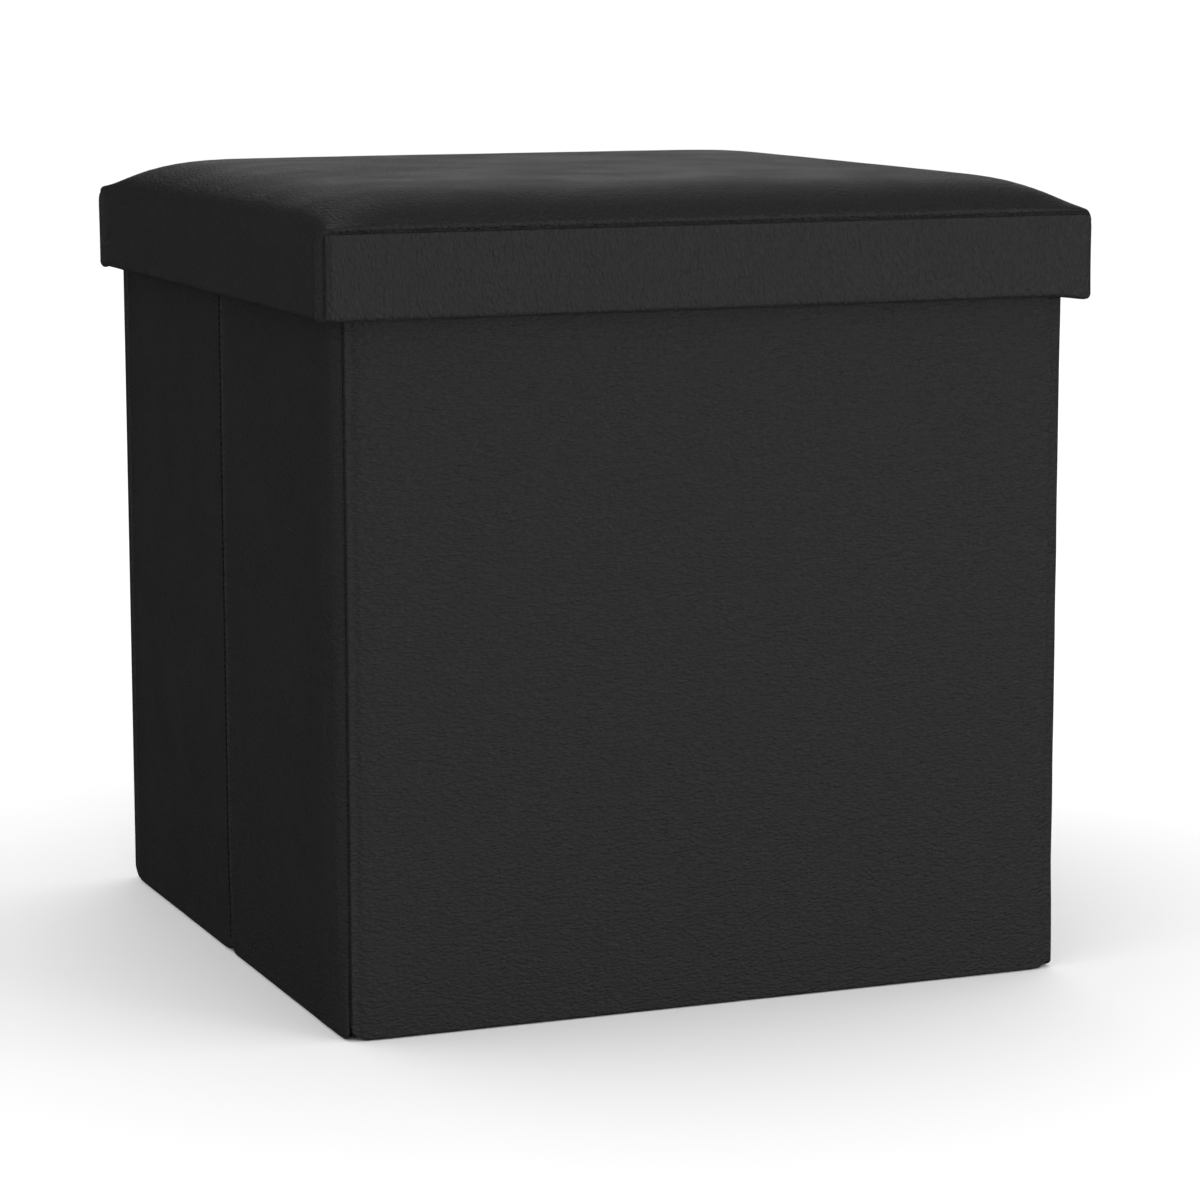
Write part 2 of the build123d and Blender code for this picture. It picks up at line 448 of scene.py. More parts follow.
FRONT_FOOT = (8 * MM, 5.2 * MM, 2.0)    # soft bottom corners: reach, height and power
SIDE_FOOT = (6 * MM, 3.2 * MM, 1.8)
REAR_FOOT = (12 * MM, 9 * MM, 3.0)
BEHIND_CREASE_FOOT = (12 * MM, 3.0 * MM, 1.3)
BEFORE_CREASE_FOOT = (4 * MM, 3.0 * MM, 1.6)
REAR_ZONE = 22 * MM
UPRIGHT = (HEM_TOP, WALL_TOP)
LINED = (HEM_TOP + 1 * MM, WALL_TOP - TURN_IN)
BOTTOM_ROLL = 2.0 * MM
corner_dense = [(-OUT + 8 * MM, 8 * MM, 0.8 * MM), (OUT - 8 * MM, 8 * MM, 0.8 * MM)]

front_dense = corner_dense + [(-OUT + 36 * MM, 24 * MM, 2 * MM)]
front = pocket("front_cover_piece", to_front, (-OUT, OUT), (1, 1), UPRIGHT, (0, POCKET_ROLL), front_relief,
               leather_wall, dense=front_dense, z_dense=[(306 * MM, 30 * MM, 2 * MM)])
ride(front, "front_wall", "front_cover")
front_hem = pocket("front_hem_piece", to_front, (-OUT, OUT), (1, 1), (0, HEM_TOP), (BOTTOM_ROLL, 0),
                   front_relief, leather_wall, dense=front_dense, feet=(FRONT_FOOT, FRONT_FOOT))
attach(front_hem, "front_wall")

back = pocket("back_cover_piece", to_back, (-OUT, OUT), (1, 1), (0, WALL_TOP), (BOTTOM_ROLL, POCKET_ROLL),
              back_relief, leather_wall, dense=corner_dense, feet=(REAR_FOOT, REAR_FOOT),
              foot_zone=REAR_ZONE)
ride(back, "back_wall", "back_cover", "back_hem")

side_reliefs = {}

# Side walls: u runs to the front on the left wall and to the back on the right one.
for side, place, turn in (("left", to_left, 1), ("right", to_right, -1)):
    front_end, rear_end, crease = turn * OUT, -turn * REAR_SEAM_Y, -turn * CREASE_Y
    span = tuple(sorted((front_end, rear_end)))
    mitres = (0, 1) if turn > 0 else (1, 0)
    relief = side_reliefs[side] = side_relief(front_end, crease, 5 if turn > 0 else 7)
    near_front = (front_end - turn * 14 * MM, 14 * MM, 1.2 * MM)
    x = -turn * OUT
    near_crease = (crease, CREASE_DENSE, 0.3 * MM)
    cover = pocket(f"{side}_cover_piece", place, span, mitres, UPRIGHT, (0, POCKET_ROLL), relief,
                   leather_wall, dense=[near_front, near_crease], pinch=crease)
    start, end = (x, CREASE_Y + CREASE_BEND, 0), (x, CREASE_Y - CREASE_BEND, 0)
    bend(cover, f"{side}_rear_panel", f"{side}_front_panel", start, end,
         f"{side}_rear_cover", f"{side}_front_cover")
    for half, ends in (("rear", (rear_end, crease)), ("front", (crease, front_end))):
        part = tuple(sorted(ends))
        part_mitres = mitres if half == "front" else (0, 0)
        at_seam = SIDE_FOOT if half == "front" else None
        at_crease = BEFORE_CREASE_FOOT if half == "front" else BEHIND_CREASE_FOOT
        feet = (at_crease, at_seam) if part[0] == crease else (at_seam, at_crease)
        hem = pocket(f"{side}_{half}_hem_piece", place, part, part_mitres, (0, HEM_TOP), (BOTTOM_ROLL, 0),
                     relief, leather_wall, dense=[near_front, near_crease], feet=feet)
        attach(hem, f"{side}_{half}_panel")
        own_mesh(hem)
        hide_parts(f"{side}_{half}_hem")
    gusset_span = tuple(sorted((-turn * REAR_SEAM_Y, -turn * OUT)))
    gusset = pocket(f"{side}_rear_gusset_piece", place, gusset_span, (1, 0) if turn > 0 else (0, 1),
                    (0, WALL_TOP), (BOTTOM_ROLL, POCKET_ROLL), lambda u, z: 0 * u, leather_wall,
                    step=2 * MM, feet=(REAR_FOOT, None) if turn > 0 else (None, REAR_FOOT),
                    foot_zone=REAR_ZONE)
    ride(gusset, "back_wall", f"{side}_rear_gusset")
    lining_span = tuple(sorted((front_end - turn * WALL, rear_end)))
    sheet = lining_sheet(f"{side}_lining_piece", place, lining_span, LINED, dense=[near_crease],
                         pinch=crease)
    bend(sheet, f"{side}_rear_panel", f"{side}_front_panel", start, end,
         f"{side}_rear_lining", f"{side}_front_lining", slot="nonwoven_lining")


# Seams: a folded strip of leathercloth between two mitred pockets, sewn inside the arris.
WEB_DEEP, WEB_PROUD, WEB_HALF = 5.4 * MM, 3.6 * MM, 0.7 * MM


def seam_web(name, corner, inward, low, high):
    """A strip that fills the joint between two mitred pockets; inward points from the arris inwards."""
    inward = np.array(inward) / np.linalg.norm(inward)
    across = np.array([-inward[1], inward[0]])
    depths = np.linspace(WEB_PROUD, WEB_DEEP, 7)
    levels = np.linspace(low, high, 60)
    points, faces = block_shell(np.array([-WEB_HALF, 0, WEB_HALF]), depths, levels)
    thin = np.where(points[:, 1] <= WEB_PROUD + 1e-9, 0.55, 1.0)
    plan = np.array(corner) + points[:, :1] * thin[:, None] * across + points[:, 1:2] * inward
    return mesh_piece(name, np.column_stack([plan, points[:, 2]]), faces, leather_wall)


for side, turn in (("left", -1), ("right", 1)):
    arris = (turn * OUT, -OUT)
    web = seam_web(f"{side}_front_seam_piece", arris, (-turn, 1), HEM_TOP, WALL_TOP - POCKET_ROLL)
    if side == "left":
        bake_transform(web)
    else:
        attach(web, "front_wall")

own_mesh(front_hem)
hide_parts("front_hem")

for wall, place, cover in (("front", to_front, front), ("back", to_back, back)):
    sheet = lining_sheet(f"{wall}_lining_piece", place, (-IN, IN), LINED)
    ride(sheet, f"{wall}_wall", f"{wall}_lining", slot="nonwoven_lining")


# ---------------------------------------------------------------- lid

ROLL_RISE, ROLL_WIDTH, ROLL_POWER = 15.6 * MM, 89 * MM, 4.8
CROWN_RISE = 0.8 * MM
START_RISE = 2.0 * MM
LID_CORNER = 6 * MM
BAND_ROLL, SIDE_ROLL = 2.4 * MM, 9 * MM     # rolls of the top edge over the bands and over the sides
RING_GROWTH = 0.35          # how fast the rounded rings of the mesh open towards the middle
SKIRT = 4.4 * MM            # the skirt's thickness under its lining
LID_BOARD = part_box("lid_board")[1].x - 1.6 * MM     # its edges are eased under the cover
FOAM_GAP = 1.8 * MM         # from the foam to the cover's outer face
DECK_SKIN = 0.08 * MM       # the cover's closed inside stops this far under the lid board


def roll_share(inset):
    return 1 - np.clip(1 - inset / ROLL_WIDTH, 0, 1) ** ROLL_POWER


def dome_height(x, y, half):
    """Height of the padded top above the crease."""
    inset_x, inset_y = half - np.abs(x), half - np.abs(y)
    crown = CROWN_RISE * (1 - (x / half) ** 2) * (1 - (y / half) ** 2)
    return START_RISE + ROLL_RISE * roll_share(inset_x) * roll_share(inset_y) + crown


def rounded_grid(half, corner, step, edge_step):
    """A square grid of points whose outer rings have rounded corners, its faces and its rim."""
    edge = 9 * MM
    marks = stations(-half, half, 0, 0, step, [(s * (half - edge), edge, edge_step) for s in (-1, 1)]
                     + [(s * (half - 2 * MM), 2 * MM, 0.4 * edge_step) for s in (-1, 1)])
    n = len(marks)
    grid_x, grid_y = np.meshgrid(marks, marks, indexing="ij")
    x, y = grid_x.ravel(), grid_y.ravel()
    ring = np.maximum(np.abs(x), np.abs(y))
    radius = np.minimum(corner + RING_GROWTH * (half - ring), 0.9 * ring + 1e-9)
    clear = ring - radius
    centre_x, centre_y = np.clip(x, -clear, clear), np.clip(y, -clear, clear)
    out_x, out_y = x - centre_x, y - centre_y
    scale = np.maximum(np.abs(out_x), np.abs(out_y)) / np.maximum(np.hypot(out_x, out_y), 1e-12)
    faces = [[i * n + j, (i + 1) * n + j, (i + 1) * n + j + 1, i * n + j + 1]
             for i in range(n - 1) for j in range(n - 1)]
    rim = ([(i, 0) for i in range(n - 1)] + [(n - 1, j) for j in range(n - 1)]
           + [(i, n - 1) for i in range(n - 1, 0, -1)] + [(0, j) for j in range(n - 1, 0, -1)])
    return centre_x + out_x * scale, centre_y + out_y * scale, faces, [i * n + j for i, j in rim]


def capped(half, corner, step, edge_step, top, section, close_z):
    """A closed mesh: a top over a rounded square, rings that follow a section of (inset, z), and a flat
    cap that closes the last ring."""
    x, y, faces, rim = rounded_grid(half, corner, step, edge_step)
    points = [np.stack([x, y, top(x, y)], 1)]
    total, previous, count = len(x), rim, len(rim)
    for inset, z in section:
        shrink = (half - inset) / half
        points.append(np.stack([x[rim] * shrink, y[rim] * shrink, np.full(count, z)], 1))
        current = list(range(total, total + count))
        faces += [[previous[k], previous[(k + 1) % count], current[(k + 1) % count], current[k]]
                  for k in range(count)]
        total, previous = total + count, current
    shrink = (half - section[-1][0]) / half
    inner = [k for k in range(len(x)) if k not in set(rim)]
    points.append(np.stack([x[inner] * shrink, y[inner] * shrink, np.full(len(inner), close_z)], 1))
    cap = {k: total + i for i, k in enumerate(inner)}
    cap.update(dict(zip(rim, previous)))
    top_faces = len(faces) - len(section) * count
    faces += [[cap[v] for v in reversed(face)] for face in faces[:top_faces]]
    return np.concatenate(points), faces


def eased_edge(points, half):
    """Rolls the lid's top edge: a wide roll over the left and right sides, a tight one above the bands."""
    x, y, z = points.T
    clear = half - LID_CORNER
    out = np.stack([x - np.clip(x, -clear, clear), y - np.clip(y, -clear, clear)], 1)
    length = np.hypot(*out.T)
    on_side = np.abs(x) > np.abs(y)
    sideways, lengthways = np.stack([np.sign(x), 0 * x], 1), np.stack([0 * y, np.sign(y)], 1)
    square_on = np.where(on_side[:, None], sideways, lengthways)
    outward = np.where(length[:, None] > 1e-9, out / np.maximum(length, 1e-9)[:, None], square_on)
    inset = np.where(length > 1e-9, LID_CORNER - length, half - np.maximum(np.abs(x), np.abs(y)))
    share = np.clip((np.abs(x) - np.abs(y)) / (8 * MM), 0, 1)
    reach = BAND_ROLL + (SIDE_ROLL - BAND_ROLL) * share * share * (3 - 2 * share)
    top = CREASE_Z + START_RISE
    on_top = z >= CREASE_Z + dome_height(x, y, half) - 1e-6
    along = np.where(on_top, inset / reach, -(top - z) / reach)
    turn = np.clip(0.5 + 0.5 * along, 0, 1)
    moves = (np.abs(along) < 1) & (z > CREASE_Z - 16 * MM) & (on_top | (np.abs(inset) < 1e-6))
    shift = np.where(on_top, reach * turn ** 2 - inset, reach * turn ** 2)
    moved = points[:, :2] - outward * shift[:, None]
    height = CREASE_Z + dome_height(moved[:, 0], moved[:, 1], half) - reach * (1 - turn) ** 2
    rolled_points = np.column_stack([moved, height])
    return np.where(moves[:, None], rolled_points, points)


def lid_cover_mesh():
    half = LID_HALF
    roll = SKIRT / 2
    face_low = RIM_LOW + roll
    rises = (1.4, 1.1, 0.8, 0.55, 0.35, 0.2, 0.08, 0, -0.08, -0.2, -0.4, -0.7, -1.1, -1.7, -2.4, -3.3)
    section = [(0.0, CREASE_Z + rise * MM) for rise in rises]
    section += [(0.0, z) for z in np.linspace(CREASE_Z - 5 * MM, face_low, 12)]
    for degrees in range(18, 181, 18):
        turn = math.radians(degrees)
        section.append((roll * (1 - math.cos(turn)), face_low - roll * math.sin(turn)))
    section += [(SKIRT, z) for z in np.linspace(face_low + 4 * MM, DECK_LOW - DECK_SKIN, 6)]

    def surface(x, y):
        return CREASE_Z + dome_height(x, y, half)

    points, faces = capped(half, LID_CORNER, 5 * MM, 1 * MM, surface, section, DECK_LOW - DECK_SKIN)
    return eased_edge(points, half), faces


def lid_relief(points, normals):
    """How the lid's cover moves: creases and seams. The bands on the front and back are sewn on along a
    crease that the top bulges over; the top runs over the left and right sides without one."""
    x, y, z = points.T
    half = LID_HALF
    reach_x, reach_y = half - np.abs(x), half - np.abs(y)       # how far inside the lid's edges
    outer = np.minimum(reach_x, reach_y) < 3.2 * MM
    above = z - CREASE_Z
    on_band = np.clip((8 * MM - reach_y) / (4 * MM), 0, 1)
    on_band = on_band * np.clip((reach_x - 0.8 * MM) / (2.5 * MM), 0, 1)
    tuck = np.where(above > 0, bell(above, 1.6 * MM), np.exp(above / (0.16 * MM)))
    bulge = 0.35 * MM * bell(above - 3.2 * MM, 2.0 * MM) * (above > 0)
    band = (bulge - 1.9 * MM * tuck) * on_band
    skirt = np.clip((CREASE_Z + 0.5 * MM - z) / (1.5 * MM), 0, 1) * outer
    along_side = np.clip((2.5 * MM - reach_x) / (1.2 * MM), 0, 1)
    along_band = np.clip((2.5 * MM - reach_y) / (1.2 * MM), 0, 1)
    groove = -1.3 * MM * bell(np.hypot(reach_x - 0.7 * MM, reach_y - 3.2 * MM), 0.9 * MM)
    ridge = 1.25 * MM * bell(reach_y - 9.5 * MM, 4.2 * MM) * along_side
    bead = 0.15 * MM * bell(reach_x - 4.5 * MM, 1.2 * MM) * along_band
    inside = (z < CREASE_Z - 1 * MM) & ~outer
    sag = 0.16 * MM * field(points, 80 * MM, 11) + 0.08 * MM * field(points, 30 * MM, 12)
    side_slack = 0.35 * MM * field(points * np.array([1, 1, 0.6]), 22 * MM, 14)
    side_slack = side_slack * np.clip((30 * MM - reach_x) / (20 * MM), 0, 1)
    along_normal = (groove + ridge + bead) * skirt + sag + side_slack
    moves = normals * along_normal[:, None]
    moves[:, 1] += np.sign(y) * band
    corner = np.hypot(x - half, y + half)
    moves[:, 2] -= 1.9 * MM * bell(corner, 13 * MM) * np.clip((RIM_LOW + 22 * MM - z) / (20 * MM), 0, 1)
    rounded = 2.8 * MM * bell(reach_x, 2.8 * MM) * bell(corner, 22 * MM) * (x > 0)
    moves[:, 2] -= rounded * np.clip((z - CREASE_Z + 10 * MM) / (10 * MM), 0, 1)
    return np.where(inside[:, None], 0, moves)


def displaced(piece, relief):
    """Moves a mesh's points by relief(points, normals)."""
    mesh = piece.data
    count = len(mesh.vertices)
    points, normals = np.empty(count * 3), np.empty(count * 3)
    mesh.vertices.foreach_get("co", points)
    mesh.vertices.foreach_get("normal", normals)
    points, normals = points.reshape(-1, 3), normals.reshape(-1, 3)
    moved = points + relief(points, normals)
    mesh.vertices.foreach_set("co", moved.ravel())
    mesh.update()


lid_points, lid_faces = lid_cover_mesh()
lid_cover = mesh_piece("lid_cover_piece", lid_points, lid_faces, leather_lid)
displaced(lid_cover, lid_relief)
lid_cover.data.materials.append(leather_band)
for face in lid_cover.data.polygons:
    middle = face.center
    on_band = middle.z < CREASE_Z + 0.2 * MM and abs(middle.y) > LID_HALF - 3 * MM
    face.material_index = int(on_band and abs(middle.x) < LID_HALF - 1.2 * MM)
ride(lid_cover, "lid", "lid_cover")


def foam_top(x, y):
    return CREASE_Z - FOAM_GAP + np.minimum(dome_height(x, y, LID_HALF), 17 * MM + 0 * x)


foam_half = LID_HALF - 10 * MM
foam_points, foam_faces = capped(foam_half, LID_CORNER + 3 * MM, 10 * MM, 3 * MM, foam_top,
                                 [(0.0, DECK_TOP + 0.1 * MM)], DECK_TOP + 0.1 * MM)
foam = mesh_piece("lid_foam_piece", foam_points, foam_faces, foam_cells)
ride(foam, "lid", "lid_foam", slot="foam")


board = slab("lid_board_piece", (-LID_BOARD, -LID_BOARD, DECK_LOW), (LID_BOARD, LID_BOARD, DECK_TOP),
             1.2 * MM, fibreboard, step=20 * MM)
ride(board, "lid", "lid_board", slot="fibreboard")

# The skirt's boards stop short of the lid's corners, where the cover is turned and sewn.
SKIRT_STOP = 7 * MM
for wall in ("front", "back", "left", "right"):
    node = f"lid_{wall}_skirt_board"
    low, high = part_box(node)
    across = 0 if wall in ("front", "back") else 1
    low[across], high[across] = SKIRT_STOP - LID_HALF, LID_HALF - SKIRT_STOP
    skirt_board = slab(f"{node}_piece", low, high, 0.5 * MM, fibreboard, step=20 * MM)
    ride(skirt_board, "lid", node, slot="fibreboard")


def tray(name, half, low, high, thick, material):
    """An open tray, mouth down, with thin walls."""
    marks = stations(-half, half, 0, 0, 12 * MM)
    levels = np.linspace(low, high, 5)
    points, faces = block_shell(marks, marks, levels)
    kept = [face for face in faces if any(points[v][2] > low + 1e-9 for v in face)]
    outer = len(points)
    shrink = (half - thick) / half
    inner = points * np.array([shrink, shrink, 1])
    inner[:, 2] = np.where(points[:, 2] > high - 1e-9, high - thick, points[:, 2])
    flipped = [[v + outer for v in reversed(face)] for face in kept]
    edge_count = {}
    for face in kept:
        for k in range(4):
            pair = (face[k], face[(k + 1) % 4])
            edge_count.setdefault(tuple(sorted(pair)), []).append(pair)
    open_edges = [pairs[0] for pairs in edge_count.values() if len(pairs) == 1]
    lips = [[b, a, a + outer, b + outer] for a, b in open_edges]
    return mesh_piece(name, np.concatenate([points, inner]), kept + flipped + lips, material)


LID_LINED = LID_HALF - SKIRT - 0.05 * MM
LINING_HEM = 14 * MM        # the lining starts this far above the rim
lid_lining = tray("lid_lining_piece", LID_LINED, RIM_LOW + LINING_HEM, DECK_LOW - 0.15 * MM, 0.4 * MM,
                  nonwoven)
ride(lid_lining, "lid", "lid_lining", slot="nonwoven_lining")


# ---------------------------------------------------------------- base panel

base_wrap = slab("base_wrap_piece", BASE_LOW, BASE_HIGH, 1.2 * MM, nonwoven)
ride(base_wrap, "base_panel", "base_wrap", "base_backing", slot="nonwoven_lining")

tab_low, tab_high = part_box("base_pull_tab")
TAB_SINK = 0.3 * MM         # leaves room for the stitches when the panel stands against the back wall
tab_high.z -= TAB_SINK
tab = slab("pull_tab_piece", tab_low, tab_high, 0.3 * MM, webbing, step=2 * MM)
ride(tab, "base_panel", "base_pull_tab", slot="webbing_tape")

flap_low, flap_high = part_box("base_hinge_flap")
tape_low, tape_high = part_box("back_hinge_tape")


def hinge_tape():
    """One strip of tape that runs from the base panel's top up the back wall's lining."""
    thick = 0.35 * MM
    bend_radius = 1.0 * MM
    bend_y = flap_high.y - bend_radius
    line = [(flap_low.y + t * (bend_y - flap_low.y), flap_low.z) for t in np.linspace(0, 1, 8)]
    line += [(bend_y + bend_radius * math.sin(a), flap_low.z + bend_radius * (1 - math.cos(a)))
             for a in np.radians((15, 30, 45, 60, 75, 90))]
    line += [(tape_low.y, z) for z in np.linspace(flap_low.z + bend_radius + 1 * MM, tape_high.z, 8)]
    line = np.array(line)
    step = np.gradient(line, axis=0)
    normal = np.stack([-step[:, 1], step[:, 0]], 1)
    normal /= np.linalg.norm(normal, axis=1)[:, None]
    xs = np.linspace(flap_low.x, flap_high.x, 40)
    points, faces = [], []
    rows = len(line)
    for offset in (0, thick):
        for x in xs:
            points += [(x, *(line[r] + normal[r] * offset)) for r in range(rows)]
    layer = len(xs) * rows
    for base in (0, layer):
        starts = [base + c * rows + r for c in range(len(xs) - 1) for r in range(rows - 1)]
        faces += [[k, k + rows, k + rows + 1, k + 1] for k in starts]
    rim = ([c * rows for c in range(len(xs))] + [(len(xs) - 1) * rows + r for r in range(1, rows)]
           + [c * rows + rows - 1 for c in range(len(xs) - 2, -1, -1)] + list(range(rows - 2, 0, -1)))
    faces += [[rim[k], rim[(k + 1) % len(rim)], rim[(k + 1) % len(rim)] + layer, rim[k] + layer]
              for k in range(len(rim))]
    return mesh_piece("hinge_tape_piece", points, faces, webbing)


tape = hinge_tape()
bend(tape, "base_panel", "back_wall", (0, flap_high.y - 1.5 * MM, flap_low.z),
     (0, tape_low.y, flap_low.z + 1.5 * MM), "base_hinge_flap", "back_hinge_tape", slot="webbing_tape")


# ---------------------------------------------------------------- stitches

STITCH_PITCH, STITCH_LENGTH, THREAD = 3.2 * MM, 2.9 * MM, 0.32 * MM
STITCH_SEED = 7


def stitch_tree():
    """Geometry nodes: a stitch laid along a line at every pitch, each a little out of true."""
    tree = bpy.data.node_groups.new("stitches_along_a_line", "GeometryNodeTree")
    inputs = {}
    for name, kind in (("Line", "Geometry"), ("Pitch", "Float"), ("Length", "Float"),
                       ("Thread radius", "Float"), ("Seed", "Int")):
        socket = tree.interface.new_socket(name, in_out="INPUT", socket_type=f"NodeSocket{kind}")
        inputs[name] = socket.identifier
    tree.interface.new_socket("Stitches", in_out="OUTPUT", socket_type="NodeSocketGeometry")
    source = tree.nodes.new("NodeGroupInput")
    curve = add(tree, "GeometryNodeMeshToCurve", links={"Mesh": (source, "Line")})
    places = add(tree, "GeometryNodeCurveToPoints", {"mode": "LENGTH"},
                 {"Curve": (curve, "Curve"), "Length": (source, "Pitch")})
    half = add(tree, "ShaderNodeMath", {"operation": "MULTIPLY", 1: 0.5}, {0: (source, "Length")})
    size = add(tree, "ShaderNodeCombineXYZ", links={
        "X": (source, "Thread radius"), "Y": (source, "Thread radius"), "Z": (half, "Value")})
    ball = add(tree, "GeometryNodeMeshUVSphere", {"Segments": 8, "Rings": 6, "Radius": 1.0})
    one = add(tree, "GeometryNodeTransform", links={"Geometry": (ball, "Mesh"), "Scale": (size, "Vector")})
    lean = add(tree, "FunctionNodeRandomValue",
               {"data_type": "FLOAT_VECTOR", "Min": (-0.05,) * 3, "Max": (0.05,) * 3},
               {"Seed": (source, "Seed")})
    turned = add(tree, "FunctionNodeRotateRotation", links={
        "Rotation": (places, "Rotation"), "Rotate By": (lean, "Value")})
    laid = add(tree, "GeometryNodeInstanceOnPoints", links={
        "Points": (places, "Points"), "Instance": (one, "Geometry"), "Rotation": (turned, "Rotation")})
    real = add(tree, "GeometryNodeRealizeInstances", links={"Geometry": (laid, "Instances")})
    painted = add(tree, "GeometryNodeSetMaterial", {"Material": thread}, {"Geometry": (real, "Geometry")})
    add(tree, "NodeGroupOutput", links={0: (painted, "Geometry")})
    return tree, inputs


stitching, stitch_inputs = stitch_tree()


def stitch_rows(name, rows, body):
    """Stitches along rows of points, as one plain mesh that rides a body."""
    points, edges = [], []
    for row in rows:
        edges += [(len(points) + k, len(points) + k + 1) for k in range(len(row) - 1)]
        points += [tuple(p) for p in row]
    line = bpy.data.meshes.new(name)
    line.from_pydata(points, edges, [])
    piece = bpy.data.objects.new(name, line)
    bpy.context.scene.collection.objects.link(piece)
    nodes = piece.modifiers.new("stitches", "NODES")
    nodes.node_group = stitching
    for key, value in (("Pitch", STITCH_PITCH), ("Length", STITCH_LENGTH), ("Thread radius", THREAD),
                       ("Seed", STITCH_SEED)):
        nodes[stitch_inputs[key]] = value
    made = bpy.data.meshes.new_from_object(piece.evaluated_get(bpy.context.evaluated_depsgraph_get()))
    piece.modifiers.clear()
    piece.data = made
    made.polygons.foreach_set("use_smooth", [True] * len(made.polygons))
    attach(piece, body)


def straight(place, ends, w, z):
    """A level row along a wall."""
    u = np.array(ends)
    return place(u, np.full(2, w), np.full(2, z))


TURN_IN_ROW = WALL_TOP - TURN_IN + 2.5 * MM
ROW_W = -POCKET - 0.05 * MM
ROW_END = 6 * MM
whole_row = (-IN + ROW_END, IN - ROW_END)
for wall, place in (("front", to_front), ("back", to_back)):
    stitch_rows(f"{wall}_turn_in_stitches", [straight(place, whole_row, ROW_W, TURN_IN_ROW)], f"{wall}_wall")
for side, place, turn in (("left", to_left, 1), ("right", to_right, -1)):
    crease = -turn * CREASE_Y
    rear_row = (-turn * (REAR_SEAM_Y - ROW_END), crease - turn * ROW_END)
    front_row = (crease + turn * ROW_END, turn * (IN - ROW_END))
    stitch_rows(f"{side}_rear_turn_in_stitches", [straight(place, rear_row, ROW_W, TURN_IN_ROW)],
                f"{side}_rear_panel")
    stitch_rows(f"{side}_front_turn_in_stitches", [straight(place, front_row, ROW_W, TURN_IN_ROW)],
                f"{side}_front_panel")
    levels = np.linspace(HEM_TOP + 3 * MM, WALL_TOP - 8 * MM, 60)
    line_u = np.full(60, crease - turn * 1.3 * MM)
    depth = side_reliefs[side](line_u, levels) + 0.15 * MM
    stitch_rows(f"{side}_crease_stitches", [place(line_u, depth, levels)], f"{side}_rear_panel")

lid_row_z = RIM_LOW + 10 * MM
corners = ((-1, -1), (1, -1), (1, 1), (-1, 1), (-1, -1))
lid_loop = [(sx * LID_LINED, sy * LID_LINED, lid_row_z) for sx, sy in corners]
stitch_rows("lid_skirt_stitches", [lid_loop], "lid")

tab_z = tab_high.z - 0.1 * MM
box_low, box_high = tab_low.y + 14 * MM, tab_high.y - 3 * MM
box_x = tab_high.x - 3 * MM
left_low, right_low = (-box_x, box_low, tab_z), (box_x, box_low, tab_z)
left_high, right_high = (-box_x, box_high, tab_z), (box_x, box_high, tab_z)
box_loop = [left_low, right_low, right_high, left_high, left_low, right_high]
stitch_rows("pull_tab_stitches", [box_loop], "base_panel")
flap_row_y, tape_row_z = (flap_low.y + flap_high.y) / 2, (tape_low.z + tape_high.z) / 2
tape_x = (flap_low.x + 3 * MM, flap_high.x - 3 * MM)
flap_row = [(x, flap_row_y, flap_low.z + 0.25 * MM) for x in tape_x]
tape_row = [(x, tape_low.y - 0.12 * MM, tape_row_z) for x in tape_x]
stitch_rows("hinge_flap_stitches", [flap_row], "base_panel")
stitch_rows("hinge_tape_stitches", [tape_row], "back_wall")


# ---------------------------------------------------------------- CAD pieces that stay

for node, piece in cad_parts.items():
    if node.endswith("_board"):
        piece.data.materials.clear()
        piece.data.materials.append(fibreboard)


# ---------------------------------------------------------------- camera, light and floor

AZIMUTH, ELEVATION, ROLL = math.radians(-22.02), math.radians(9.08), math.radians(-0.09)
DISTANCE = 1982.6 * MM
AIM = Vector((15.71, 0, 163.83)) * MM
LENS = 117.95

camera_data = bpy.data.cameras.new("camera")
camera_data.lens = LENS
camera_data.sensor_width = 36
camera = bpy.data.objects.new("camera", camera_data)
bpy.context.scene.collection.objects.link(camera)
back_to_camera = Vector((math.sin(AZIMUTH) * math.cos(ELEVATION), -math.cos(AZIMUTH) * math.cos(ELEVATION),
                         math.sin(ELEVATION)))
camera.location = AIM + DISTANCE * back_to_camera
camera.rotation_mode = "QUATERNION"
aim = (-back_to_camera).to_track_quat("-Z", "Y")
camera.rotation_quaternion = aim @ Quaternion((0, 0, 1), ROLL)
bpy.context.scene.camera = camera


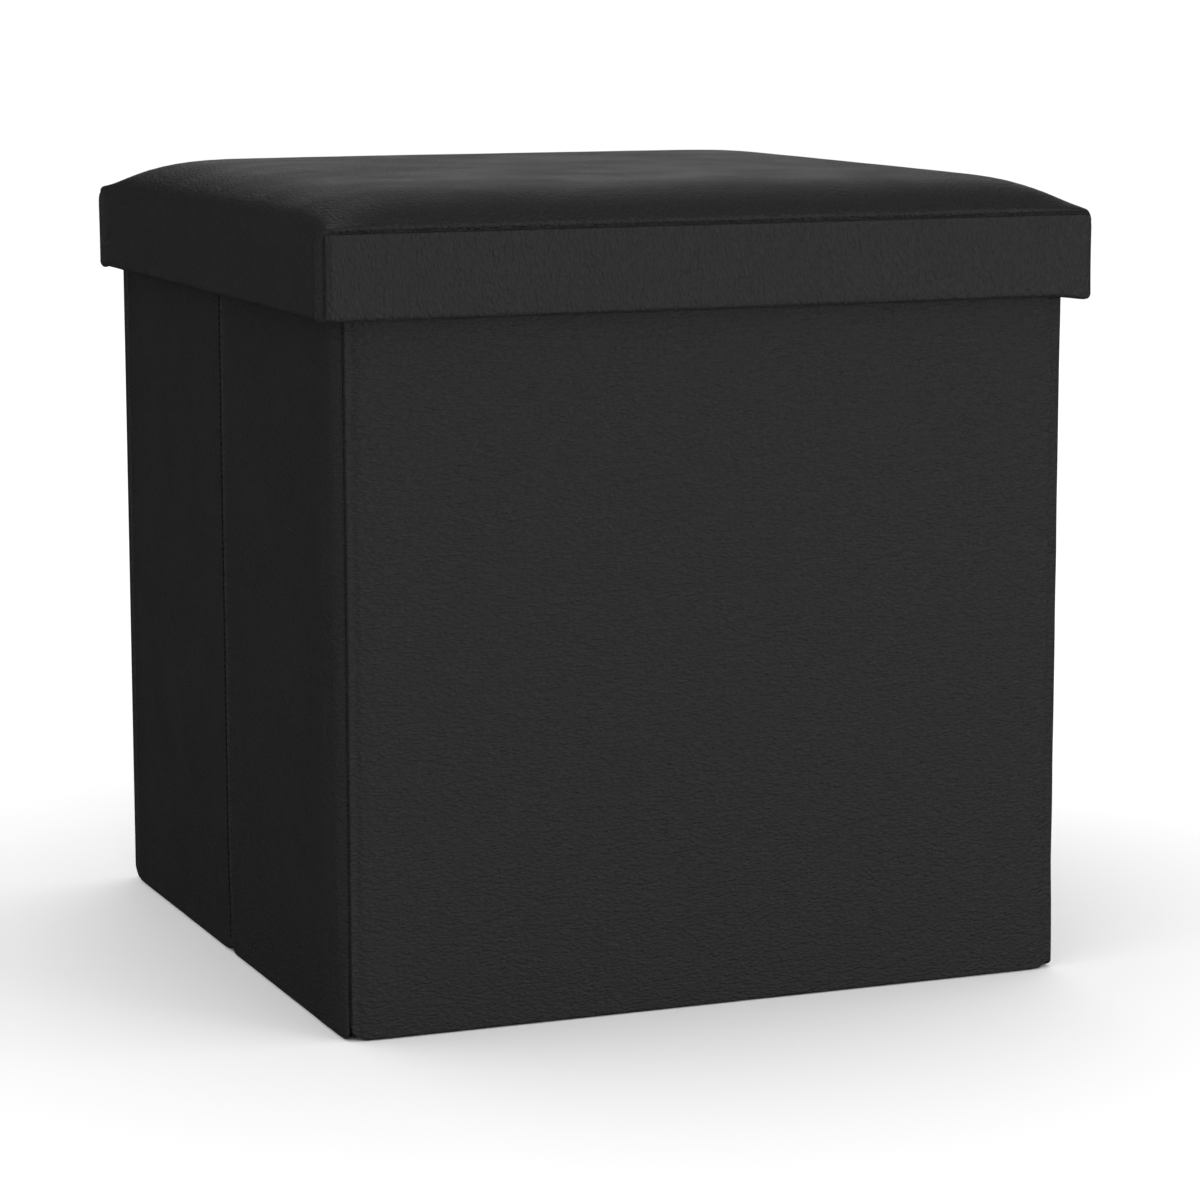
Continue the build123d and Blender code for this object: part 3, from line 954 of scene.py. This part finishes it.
def softbox(name, place, target, size, watts):
    """A rectangular softbox aimed at a point."""
    data = bpy.data.lights.new(name, "AREA")
    data.shape = "RECTANGLE"
    data.size, data.size_y = size
    data.energy = watts
    light = bpy.data.objects.new(name, data)
    bpy.context.scene.collection.objects.link(light)
    light.location = place
    light.rotation_mode = "QUATERNION"
    light.rotation_quaternion = (Vector(target) - Vector(place)).to_track_quat("-Z", "Y")
    light.visible_camera = False
    return light


# The key stands low to the right, the side box lifts the left wall, and two boxes behind put a sheen on the
# back of the lid's crown.
softbox("key_softbox", (1.35, -2.2, 0.45), (0.05, 0, 0.25), (0.8, 0.7), 14.5)
softbox("side_softbox", (-2.35, 1.25, 0.5), (-0.1, 0, 0.2), (1.0, 0.8), 3.1)
softbox("back_softbox", (1.45, 3.0, 0.85), (0, 0, 0.38), (2.2, 0.7), 4.2)
softbox("high_back_softbox", (1.2, 2.9, 1.75), (0, 0, 0.38), (2.0, 1.0), 3.4)
softbox("overhead_softbox", (0.2, 0.2, 2.8), (0, 0, 0), (2.5, 2.5), 2.5)

world = bpy.data.worlds.new("pale_room")
world.use_nodes = True
world.node_tree.nodes["Background"].inputs["Color"].default_value = linear("#ffffff")
world.node_tree.nodes["Background"].inputs["Strength"].default_value = 1.15
world.cycles_visibility.glossy = False
bpy.context.scene.world = world
bpy.context.scene.view_settings.view_transform = "Standard"

floor_mesh = bpy.data.meshes.new("floor")
FLOOR_REACH = 30.0
floor_corners = [(sx * FLOOR_REACH, sy * FLOOR_REACH, 0) for sx, sy in corners[:4]]
floor_mesh.from_pydata(floor_corners, [], [(0, 1, 2, 3)])
floor = bpy.data.objects.new("floor", floor_mesh)
bpy.context.scene.collection.objects.link(floor)
floor_paint, floor_tree = new_material("pale_matte_floor")
floor_shader = add(floor_tree, "ShaderNodeBsdfPrincipled",
                   {"Base Color": linear("#f8f8f8"), "Roughness": 0.9, "Specular IOR Level": 0.1})
finish_material(floor_tree, floor_shader)
floor_mesh.materials.append(floor_paint)
floor.visible_glossy = False
